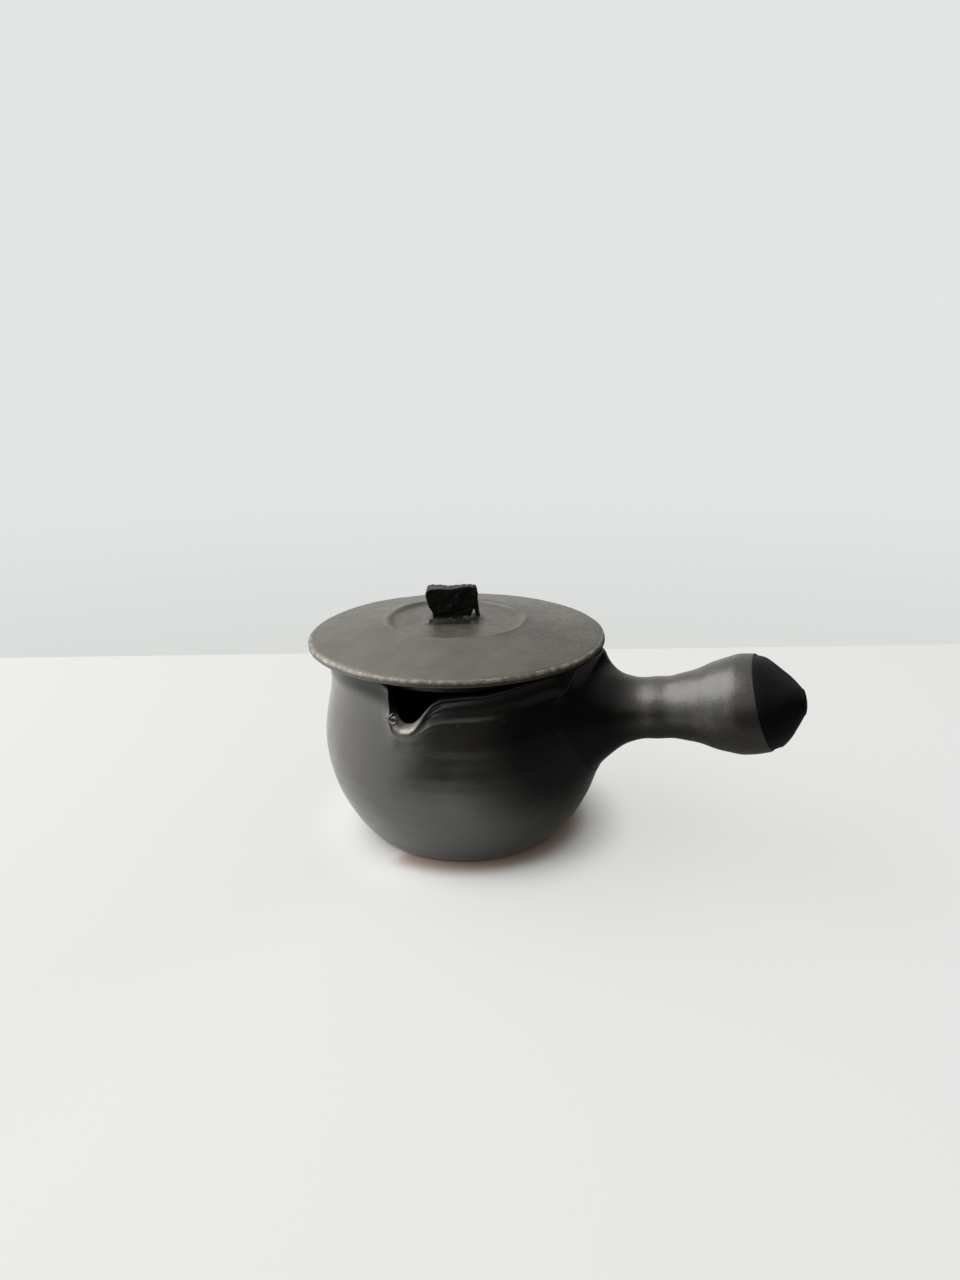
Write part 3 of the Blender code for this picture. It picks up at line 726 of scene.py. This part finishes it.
def smooth_seam(points, seam, pull, reach):
    """Draws points near the seam towards the fillet of clay there: the seam's own pull, fading as a square."""
    flat = points.reshape(-1, 3)
    near = np.flatnonzero(np.abs(flat - seam.mean(axis=0)).max(axis=1) < SEAM_RANGE)
    gaps = np.linalg.norm(flat[near, None] - seam[None], axis=-1)
    closest = gaps.argmin(axis=1)
    share = np.clip(1 - gaps.min(axis=1) / reach, 0, 1) ** 2
    drawn = flat.copy()
    drawn[near] += pull[closest] * share[:, None]
    return drawn.reshape(points.shape)


def roughen_handle(rows):
    """Slow swells all over and short lumps and knife flats on the pared end."""
    local = moved(rows, handle_frame.inverted())
    pared = rise(local[..., 2], HANDLE_LENGTH - 0.0165, HANDLE_LENGTH - 0.012)
    free = rise(local[..., 2], 0.001, 0.010)
    swell = 0.00010 * unevenness(rows, 0.030, 11) + 0.00003 * unevenness(rows, 0.009, 13)
    lumps = 0.00022 * unevenness(rows, 0.016, 15) + 0.00005 * unevenness(rows, 0.006, 17)
    tip = rise(local[..., 2], HANDLE_LENGTH - 0.004, HANDLE_LENGTH)
    return press(rows, free * swell * (1 - pared) + pared * (lumps * (1 - 0.5 * tip) - 0.0004))


def fire_handle():
    """The same dark clay, browner and more polished by the hand, with throwing lines and a matt pared end; painted
    shade makes the pared end near black and the root darker.
    """
    material, shader, place = new_finish("handled_stoneware", 0.36, 1.0)
    centred = mapped(place, Location=(-BELLY_RADIUS, 0, -HANDLE_HEIGHT))
    along = mapped(centred, Rotation=(0, HANDLE_TILT - math.pi / 2, 0))
    patches = stoneware_grain(place, 0.016, 0.5, 11.0)
    grain = stoneware_grain(place, 0.0010, 0.7, 12.0)
    rings = ring_noise(along, 0.0016, 13.0)
    brown = tint(ramp(patches, 0.38, 0.66), (0.009, 0.0075, 0.006), (0.032, 0.024, 0.0175))
    worn = tint(ramp(grain, 0.45, 0.80, 0.0, 0.6), brown, (0.026, 0.022, 0.018))
    pits = specks(place, 0.0046, 0.09, 14.0)
    distance = part_of(along, "Z")
    aside = part_of(combine_ways("NORMALIZE", level_part(along)), "X")
    leaning = combine("SUBTRACT", distance, combine("MULTIPLY", aside, PARED_SKEW))
    pared = ramp(leaning, KNIFE_LINE - 0.0003, KNIFE_LINE + 0.0002)
    painted_shade = ramp(distance, 0.030, 0.006)
    # Painted shade: the pared end, turned away from the window, is coloured near black, and the clay darkens towards
    # the root.
    dark = tint(pared, tint(painted_shade, worn, PAINTED_SHADE_CLAY), (0.0022, 0.0022, 0.0021))
    satin = ramp(stoneware_grain(place, 0.005, 0.6, 15.0), 0.25, 0.75, 0.24, 0.35)
    satin = combine("ADD", satin, combine("MULTIPLY", pared, 0.15))
    shine = ramp(combine("MAXIMUM", pared, combine("MULTIPLY", painted_shade, 0.85)), 0.0, 1.0, 1.0, 0.15)
    feed(shader, Base_Color=tint(pits, dark, PIT_CLAY), Roughness=satin, Specular_IOR_Level=shine)
    heights = [(rings, 0.00005), (stoneware_grain(place, 0.0030, 0.6, 16.0), 0.00010), (grain, 0.00011)]
    add_relief(shader, heights, pits, 0.0002)
    return material


def find_seam():
    """Points where the root meets the pot's wall, and how far the clay is drawn out there to round the corner.

    The pull lies along the middle of the two surfaces' directions. It is half the reach times the sine of half the
    angle between them, which makes both meet level.
    """
    angles = np.linspace(0, math.tau, HANDLE_LINES, endpoint=False)
    past_foot = reach_wall(angles, 0.0)
    seam = root_points(angles, past_foot)
    along = root_points(angles, past_foot - 0.0003) - root_points(angles, past_foot + 0.0003)
    facing = np.cross(np.roll(seam, -1, axis=0) - np.roll(seam, 1, axis=0), along)
    facing /= np.linalg.norm(facing, axis=-1, keepdims=True)
    bisector = facing + wall_facing(seam)
    length = np.linalg.norm(bisector, axis=-1, keepdims=True)
    depth = SEAM_REACH / 2 * np.sqrt(np.clip(1 - (length / 2) ** 2, 0, 1))
    return seam, bisector / length * depth * (1 - rise(seam[:, 2:], *SEAM_FADE))


seam, seam_pull = find_seam()
near_outside = np.hypot(bowl_rows[..., 0], bowl_rows[..., 1]) > pot_wall(bowl_rows[..., 2], inset=0.002)
bowl_rows = np.where(near_outside[..., None], smooth_seam(bowl_rows, seam, seam_pull, SEAM_REACH), bowl_rows)
bowl_points = np.concatenate([bowl_rows.reshape(-1, 3), [(0, 0, 0), (0, 0, FLOOR)]])
bowl.data.vertices.foreach_set("co", bowl_points.ravel())
bowl.data.update()

handle_rows = smooth_seam(roughen_handle(shape_handle()), seam, seam_pull, SEAM_REACH)
foot_middle = tuple(handle_rows[0].mean(axis=0))
nose = tuple(np.array(handle_frame @ Vector((0, 0, HANDLE_LENGTH - 0.0002))))
handle = skin("thrown_handle", handle_rows, foot_middle, nose, fire_handle())
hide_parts("handle")
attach(handle, "pot")


# Lid: a thrown disc of a browner, paler clay, slightly coned, with a raised ring round a shallow dish.
# It lies loose on the rim, pushed a little away from the handle, with its edge standing proud all round.

LID_RADIUS = 0.0700
LID_EDGE = 0.0031
LID_RISE = 0.0063
LID_WALL = 0.0046
EDGE_ROUND = 0.0007
DISH_RADIUS = 0.0323
DISH_DEPTH = 0.0015
BEAD_HEIGHT = 0.0006
BEAD_WIDTH = 0.0022
DISH_SLOPE = 0.0032
LID_SEAT = 0.0924
LID_SHIFT = -0.0036
KNOB_TURN = math.radians(21)
KNOB_OFFSET = 0.0010
KNOB_HALF_WIDTH = 0.0117
KNOB_HALF_DEPTH = 0.0042
LEG_HALF_DEPTH = 0.0021
SMEAR_HEIGHT = 0.0014
SMEAR_REACH = 0.0040
KNOB_SHADE_FORWARD = 0.0022
MOUND_HEIGHT = 0.0009
MOUND_RADIUS = 0.0125
LOCATING_RADIUS = 0.0547
LOCATING_WALL = 0.0032
LOCATING_HEIGHT = 0.0075
LOCATING_BEVEL = 0.0008
GAP = 0.0003


def lid_top(radius):
    """Height over the seat: a cone, a half-sine bead on its crest, and a sine step down into the flat dish."""
    crest = DISH_RADIUS + BEAD_WIDTH
    edge = LID_RADIUS - EDGE_ROUND
    cone = LID_EDGE + LID_RISE * np.clip((edge - radius) / (edge - crest), 0, 1)
    bead = BEAD_HEIGHT * np.sin(np.clip((crest - radius) / BEAD_WIDTH, 0, 1) * math.pi / 2)
    fall = DISH_DEPTH * np.sin(np.clip((DISH_RADIUS - radius) / DISH_SLOPE, 0, 1) * math.pi / 2)
    return cone + bead - fall


def smooth_lid_top(radius):
    """The lid's upper side with its corners worn round, as an average over a small window."""
    return sum(lid_top(radius + shift) for shift in np.linspace(-0.0008, 0.0008, 7)) / 7


def shape_lid():
    """Section of the disc turned round its axis: hollow underside, flat seat, soft edge, and the top in to the pad."""
    angles = np.linspace(0, math.tau, 300, endpoint=False)
    seat = LOCATING_RADIUS - LOCATING_WALL
    hollow = seat - LID_WALL
    under = steps((0.004, hollow, 26))
    side = np.linspace(0, 1, 9)
    edge_low = np.linspace(-math.pi / 2, 0, 7)[1:]
    edge_high = np.linspace(0, math.pi / 2, 13)[1:]
    top = steps((LID_RADIUS - EDGE_ROUND * 2.2, 0.0385, 56), (0.0385, 0.026, 64), (0.026, 0.0035, 60))[1:]
    low, high = EDGE_ROUND, EDGE_ROUND * 2.2
    radius = [under, hollow + (seat - hollow) * side[1:], np.linspace(seat, LID_RADIUS - low, 12)[1:]]
    height = [smooth_lid_top(under) - LID_WALL, (smooth_lid_top(hollow) - LID_WALL) * (1 - side[1:]), np.zeros(11)]
    radius += [LID_RADIUS - low + low * np.cos(edge_low), np.full(6, LID_RADIUS)]
    height += [low + low * np.sin(edge_low), np.linspace(low, LID_EDGE - high, 8)[1:-1]]
    radius += [LID_RADIUS - high + high * np.cos(edge_high), top]
    height += [LID_EDGE - high + high * np.sin(edge_high), smooth_lid_top(top)]
    return turned(np.concatenate(radius)[:, None], np.concatenate(height)[:, None], angles)


def beside_knob(x, y):
    """Distance outside the ground that the knob stands on: a rectangle turned with it, narrower at the thin leg."""
    along = x * math.cos(KNOB_TURN) + y * math.sin(KNOB_TURN) + KNOB_OFFSET
    across = y * math.cos(KNOB_TURN) - x * math.sin(KNOB_TURN)
    share = np.clip(along / (2 * KNOB_HALF_WIDTH) + 0.5, 0, 1)
    half_depth = KNOB_HALF_DEPTH + (LEG_HALF_DEPTH - KNOB_HALF_DEPTH) * share
    past_side = np.clip(np.abs(along) - KNOB_HALF_WIDTH, 0, None)
    past_front = np.clip(np.abs(across - KNOB_HALF_DEPTH + half_depth) - half_depth, 0, None)
    return np.hypot(past_side, past_front)


def roughen_lid(rows):
    """Throwing lines and ripples on the top, a wavering chipped edge, an uneven bead, and clay round the knob.

    That clay is a low bell curve with a steeper smear on it, which fades as a square away from the knob's ground.
    """
    x, y, height = rows[..., 0], rows[..., 1], rows[..., 2]
    radius = np.hypot(x, y)
    upper = rise(facing_out(rows)[..., 2], 0.2, 0.9)
    near_edge = hump(radius, LID_RADIUS, 0.0014)
    free = 1 - near_edge
    spiral = radius / 0.0031 + np.arctan2(y, x) / math.tau
    lines = np.sin(math.tau * (spiral + 0.3 * unevenness(rows, 0.04, 21)))
    swell = 0.00016 * unevenness(rows, 0.040, 23) + 0.00005 * unevenness(rows, 0.010, 25) + 0.000015 * lines
    chips = -0.00012 - 0.00007 * np.maximum(unevenness(rows, 0.0035, 27), 0) - 0.00008 * unevenness(rows, 0.016, 29)
    uneven_bead = hump(radius, DISH_RADIUS, 0.0022) * 0.00022 * unevenness(rows, 0.018, 31)
    smear = SMEAR_HEIGHT * np.clip(1 - beside_knob(x, y) / SMEAR_REACH, 0, 1) ** 2
    smear = smear * (1 + 0.25 * unevenness(rows, 0.006, 35))
    mound = MOUND_HEIGHT * hump(radius, 0, MOUND_RADIUS) + smear
    edge = near_edge * np.minimum(chips, -0.00003) * rise(height, -0.0005, 0.0012)
    return press(rows, upper * free * (swell + uneven_bead + mound) + edge)


def fire_lid():
    """Warm brown-grey stoneware, satin, with fine lines round it, rusty and pale breaks along its upper edge.

    The pale on the edge is partly a painted highlight, the side band below it is painted darker as painted shade,
    and a dark tint painted round the knob's foot, reaching further in front, is painted shade.
    """
    material, shader, place = new_finish("brown_stoneware", 0.38, 0.9)
    centred = mapped(place, Location=(-LID_SHIFT, 0, -LID_SEAT))
    height = part_of(centred, "Z")
    distance = combine_ways("LENGTH", level_part(centred))
    lines = ring_noise(centred, 0.0008, 21.0, 0.002)
    bands = ring_noise(centred, 0.0045, 22.0, 0.006)
    patches = stoneware_grain(place, 0.022, 0.55, 23.0)
    grain = stoneware_grain(place, 0.0009, 0.7, 24.0)
    clay = tint(ramp(patches, 0.35, 0.68), (0.038, 0.032, 0.023), (0.074, 0.064, 0.048))
    banded = tint(ramp(bands, 0.35, 0.70, 0.0, 0.4), clay, (0.052, 0.044, 0.035))
    lined = tint(ramp(lines, 0.50, 0.72, 0.0, 0.3), banded, (0.095, 0.083, 0.066))
    grained = tint(ramp(grain, 0.55, 0.78, 0.0, 0.6), lined, (0.030, 0.026, 0.021))
    rust = stoneware_grain(place, 0.0022, 0.65, 25.0)
    at_edge = ramp(distance, LID_RADIUS - 0.0021, LID_RADIUS - 0.0011)
    upper = ramp(height, LID_EDGE - 0.0019, LID_EDGE - 0.0011)
    wear = ramp(stoneware_grain(place, 0.0028, 0.75, 30.0), 0.42, 0.60, 0.08, 1.0)
    # Pale breaks on the upper edge: partly wear, partly a painted highlight along the rim.
    worn_and_highlit_edge = combine("MULTIPLY", at_edge, combine("MULTIPLY", upper, wear))
    # Painted shade: the rim's side band below the edge is darker.
    side = combine("MULTIPLY", at_edge, ramp(height, LID_EDGE - 0.0011, LID_EDGE - 0.0019))
    painted_side_shade = tint(side, grained, (0.034, 0.029, 0.023))
    paled = tint(worn_and_highlit_edge, painted_side_shade, (0.235, 0.205, 0.155))
    rusty = combine("MULTIPLY", at_edge, ramp(rust, 0.58, 0.66, 0.0, 0.8))
    edged = tint(rusty, paled, (0.16, 0.085, 0.045))
    # Painted shade: a dark tint round the knob's foot, reaching further in front, where the clay faces the dim room.
    by_knob = mapped(centred, Location=(KNOB_OFFSET, KNOB_SHADE_FORWARD, 0), Rotation=(0, 0, -KNOB_TURN))
    ground = (KNOB_HALF_WIDTH, LEG_HALF_DEPTH + KNOB_SHADE_FORWARD, LID_RADIUS)
    past = combine_ways("MAXIMUM", combine_ways("SUBTRACT", combine_ways("ABSOLUTE", by_knob), ground))
    painted_knob_shade = ramp(combine_ways("LENGTH", past), 0.0034, 0.0010)
    painted_knob_shade = combine("MULTIPLY", painted_knob_shade, ramp(rust, 0.35, 0.60, 0.6, 1.0))
    edged = tint(painted_knob_shade, edged, (0.006, 0.0055, 0.0048))
    pits = specks(place, 0.0052, 0.17, 26.0)
    pale = specks(place, 0.0060, 0.15, 27.0)
    colour = tint(pale, tint(pits, edged, (0.012, 0.010, 0.009)), (0.25, 0.21, 0.16))
    satin = ramp(stoneware_grain(place, 0.004, 0.6, 28.0), 0.25, 0.75, 0.36, 0.50)
    feed(shader, Base_Color=colour, Roughness=satin)
    heights = [(lines, 0.00002), (bands, 0.00004), (stoneware_grain(place, 0.0030, 0.6, 29.0), 0.0001)]
    add_relief(shader, heights + [(grain, 0.00006)], pits, 0.0002)
    return material


lid_finish = fire_lid()
lid_place = Matrix.Translation((LID_SHIFT, 0, LID_SEAT))
lid_rows = moved(roughen_lid(shape_lid()), lid_place)
top_height = LID_SEAT + float(smooth_lid_top(np.array(0.0)))
lid = skin("thrown_lid", lid_rows, (LID_SHIFT, 0, top_height - LID_WALL), (LID_SHIFT, 0, top_height), lid_finish)
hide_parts("lid_plate")
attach(lid, "lid")


# Locating ring: a low coil of the lid's clay, turned true and luted under the lid to keep it over the mouth.


def shape_locating_ring():
    """Closed section of the ring, a box with rounded lower corners, turned round the lid's axis."""
    angles = np.linspace(0, math.tau, 200, endpoint=False)
    inside = LOCATING_RADIUS - LOCATING_WALL
    low = -GAP - LOCATING_HEIGHT
    corner = np.linspace(0, math.pi / 2, 7)
    bevel = LOCATING_BEVEL
    radius = [np.full(12, inside), inside + bevel - bevel * np.cos(corner)]
    height = [np.linspace(-GAP, low + bevel, 12), low + bevel - bevel * np.sin(corner)]
    radius += [LOCATING_RADIUS - bevel + bevel * np.sin(corner), np.full(12, LOCATING_RADIUS)]
    height += [low + bevel - bevel * np.cos(corner), np.linspace(low + bevel, -GAP, 12)]
    return turned(np.concatenate(radius)[:, None], np.concatenate(height)[:, None], angles)


def close_ring(name, rows, finish):
    """Mesh of a grid that closes both ways."""
    count, around = rows.shape[:2]
    index = np.arange(count * around).reshape(count, around)
    beside, after = np.roll(index, -1, axis=1), np.roll(index, -1, axis=0)
    faces = np.stack([index, beside, np.roll(after, -1, axis=1), after], axis=-1).reshape(-1, 4)
    made = lay_mesh(name, rows.reshape(-1, 3).tolist(), faces.tolist(), finish)
    made.data.shade_smooth()
    made.data.set_sharp_from_angle(angle=math.radians(50))
    return made


locating_rows = shape_locating_ring()
locating_uneven = 0.00008 * unevenness(locating_rows, 0.02, 33) - 0.0001
locating_rows = moved(press(locating_rows, locating_uneven * rise(-locating_rows[..., 2], 0.0008, 0.002)), lid_place)
locating_ring = close_ring("luted_ring", locating_rows, lid_finish)
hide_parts("lid_locating_ring")
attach(locating_ring, "lid")


# Knob: a torn slab of the pot's dark clay, folded over and pressed down on the dish of the lid.
# It is thick at its left end, and a slot beside its right foot leaves a thin leg.

KNOB_BASE = LID_SEAT + LID_EDGE + LID_RISE + BEAD_HEIGHT - DISH_DEPTH + GAP
# Each row: place along the arch, then in millimetres the outline's x and height and the slot's x and height
KNOB_ARCH = np.array(
    [
        (0.00, -11.3, 0.0, 7.4, 0.0),
        (0.04, -10.6, 1.2, 7.5, 0.7),
        (0.09, -10.3, 3.0, 7.8, 1.7),
        (0.14, -10.7, 5.0, 8.1, 2.7),
        (0.18, -11.6, 6.6, 8.3, 3.3),
        (0.27, -12.6, 10.4, 8.5, 4.0),
        (0.34, -13.0, 14.4, 8.6, 4.5),
        (0.385, -12.7, 15.9, 8.65, 4.8),
        (0.41, -11.8, 16.35, 8.7, 4.9),
        (0.54, -6.2, 16.2, 8.9, 5.1),
        (0.64, -1.8, 15.8, 9.05, 5.2),
        (0.72, 3.0, 16.3, 9.2, 5.2),
        (0.79, 8.0, 16.35, 9.4, 5.1),
        (0.83, 10.4, 15.8, 9.6, 4.9),
        (0.86, 11.2, 14.4, 9.75, 4.5),
        (0.91, 11.0, 9.6, 9.9, 3.6),
        (0.95, 11.3, 5.2, 10.0, 2.3),
        (1.00, 12.2, 0.0, 10.0, 0.0),
    ]
)
KNOB_ROUND = 0.0009
KNOB_BACK = 0.0046


def section_loop(front, side, back, corner):
    """One loop round a section, from the slot along the front, round the outer side and back behind.

    Gives, for each point, the share along the width and the depth, and how far into a corner it lies both ways.
    """
    arc = np.linspace(0, math.pi / 2, corner + 1)[:-1]
    straight = np.linspace(0, 1, front + 1)[:-1]
    cross = np.linspace(0, 1, side + 1)[:-1]
    behind = np.linspace(1, 0, back + 1)[:-1]
    width = [straight, np.ones(corner), np.ones(side), np.ones(corner), behind, np.zeros(corner)]
    width += [np.zeros(side), np.zeros(corner)]
    depth = [np.zeros(front), np.zeros(corner), cross, np.ones(corner), np.ones(back), np.ones(corner)]
    depth += [1 - cross, np.zeros(corner)]
    width_corner = [straight * 0, np.sin(arc), np.ones(side), np.cos(arc), behind * 0, -np.sin(arc)]
    width_corner += [-np.ones(side), -np.cos(arc)]
    depth_corner = [-np.ones(front), -np.cos(arc), cross * 0, np.sin(arc), np.ones(back), np.cos(arc)]
    depth_corner += [cross * 0, -np.sin(arc)]
    return [np.concatenate(part)[None, :] for part in (width, depth, width_corner, depth_corner)]


def knob_front(x, height):
    """Front face: nearest at the left end and level with the middle at the right, stepped out above the fold."""
    share = np.clip((x + 0.0128) / 0.0242, 0, 1)
    waist = -0.0042 + 0.0046 * share
    folded = -0.0064 + 0.0062 * share
    fold = 0.0040 + 0.0024 * rise(x, -0.002, 0.010)
    foot = -0.0011 * (1 - rise(height, 0, 0.0022))
    return waist + (folded - waist) * rise(height, fold - 0.0006, fold + 0.0005) + foot * (1 - share)


def shape_knob():
    """Sections carried over the arch from the left foot to the thin leg, each between the slot and the outline."""
    place = np.linspace(0, 1, 190)
    outer_x, outer_z, inner_x, inner_z = (
        eased(place, KNOB_ARCH[:, 0], KNOB_ARCH[:, column], 0.012)[:, None] / 1000 for column in range(1, 5)
    )
    width, depth, width_corner, depth_corner = section_loop(70, 22, 46, 7)
    length = np.hypot(outer_x - inner_x, outer_z - inner_z)
    ease = np.minimum(KNOB_ROUND, length * 0.35)
    along = ease / length + width * (1 - 2 * ease / length) + width_corner * ease / length
    x = inner_x + (outer_x - inner_x) * along
    height = inner_z + (outer_z - inner_z) * along
    front = knob_front(x, height)
    y = front + ease + depth * (KNOB_BACK - front - 2 * ease) + depth_corner * ease
    return np.stack([x, y, height], axis=-1)


def roughen_knob(rows):
    """Torn clay: broad dents and short lumps, rougher along the top and crumbly at the foot."""
    height = rows[..., 2]
    top = rise(height, 0.0125, 0.0160)
    foot = 1 - rise(height, 0.0004, 0.0028)
    dents = 0.00030 * unevenness(rows, 0.009, 41) + 0.00014 * unevenness(rows, 0.0035, 43)
    crumbs = 0.00013 * unevenness(rows, 0.0016, 45)
    amount = dents * (1 - 0.6 * top) + crumbs * (0.35 + 0.4 * top + 0.9 * foot) - 0.0003 * top
    return press(rows, amount * rise(height, -0.0002, 0.0006) + 0.00005 * top)


def fire_knob():
    """Near-black clay, painted darker than the pot's as shade: matt where torn, satin on the pressed faces, with
    reddish crumbs at the foot.
    """
    material, shader, place = new_finish("torn_stoneware", 0.4, 0.32)
    patches = stoneware_grain(place, 0.007, 0.6, 31.0)
    grain = stoneware_grain(place, 0.0008, 0.75, 32.0)
    # Painted shade: the pot's clay made darker still, as the knob's front faces the dim room.
    clay = tint(ramp(patches, 0.40, 0.66), (0.0014, 0.0014, 0.0013), (0.0045, 0.0042, 0.0037))
    grained = tint(ramp(grain, 0.52, 0.76), clay, (0.011, 0.0095, 0.008))
    at_foot = ramp(part_of(place, "Z"), KNOB_BASE + 0.0025, KNOB_BASE)
    crumbs = combine("MULTIPLY", at_foot, ramp(grain, 0.42, 0.60))
    matt = ramp(patches, 0.30, 0.70, 0.32, 0.50)
    feed(shader, Base_Color=tint(crumbs, grained, (0.060, 0.030, 0.018)), Roughness=matt)
    add_relief(shader, [(stoneware_grain(place, 0.0024, 0.65, 33.0), 0.00022), (grain, 0.00012)])
    return material


knob_place = Matrix.Translation((LID_SHIFT, 0, KNOB_BASE)) @ Matrix.Rotation(KNOB_TURN, 4, "Z")
knob_place = knob_place @ Matrix.Translation((-KNOB_OFFSET, 0, 0))
knob_rows = moved(roughen_knob(shape_knob()[:, ::-1]), knob_place)
knob_ends = [tuple(knob_rows[end].mean(axis=0)) for end in (0, -1)]
knob = skin("torn_knob", knob_rows, *knob_ends, fire_knob())
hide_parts("lid_knob")
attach(knob, "lid")
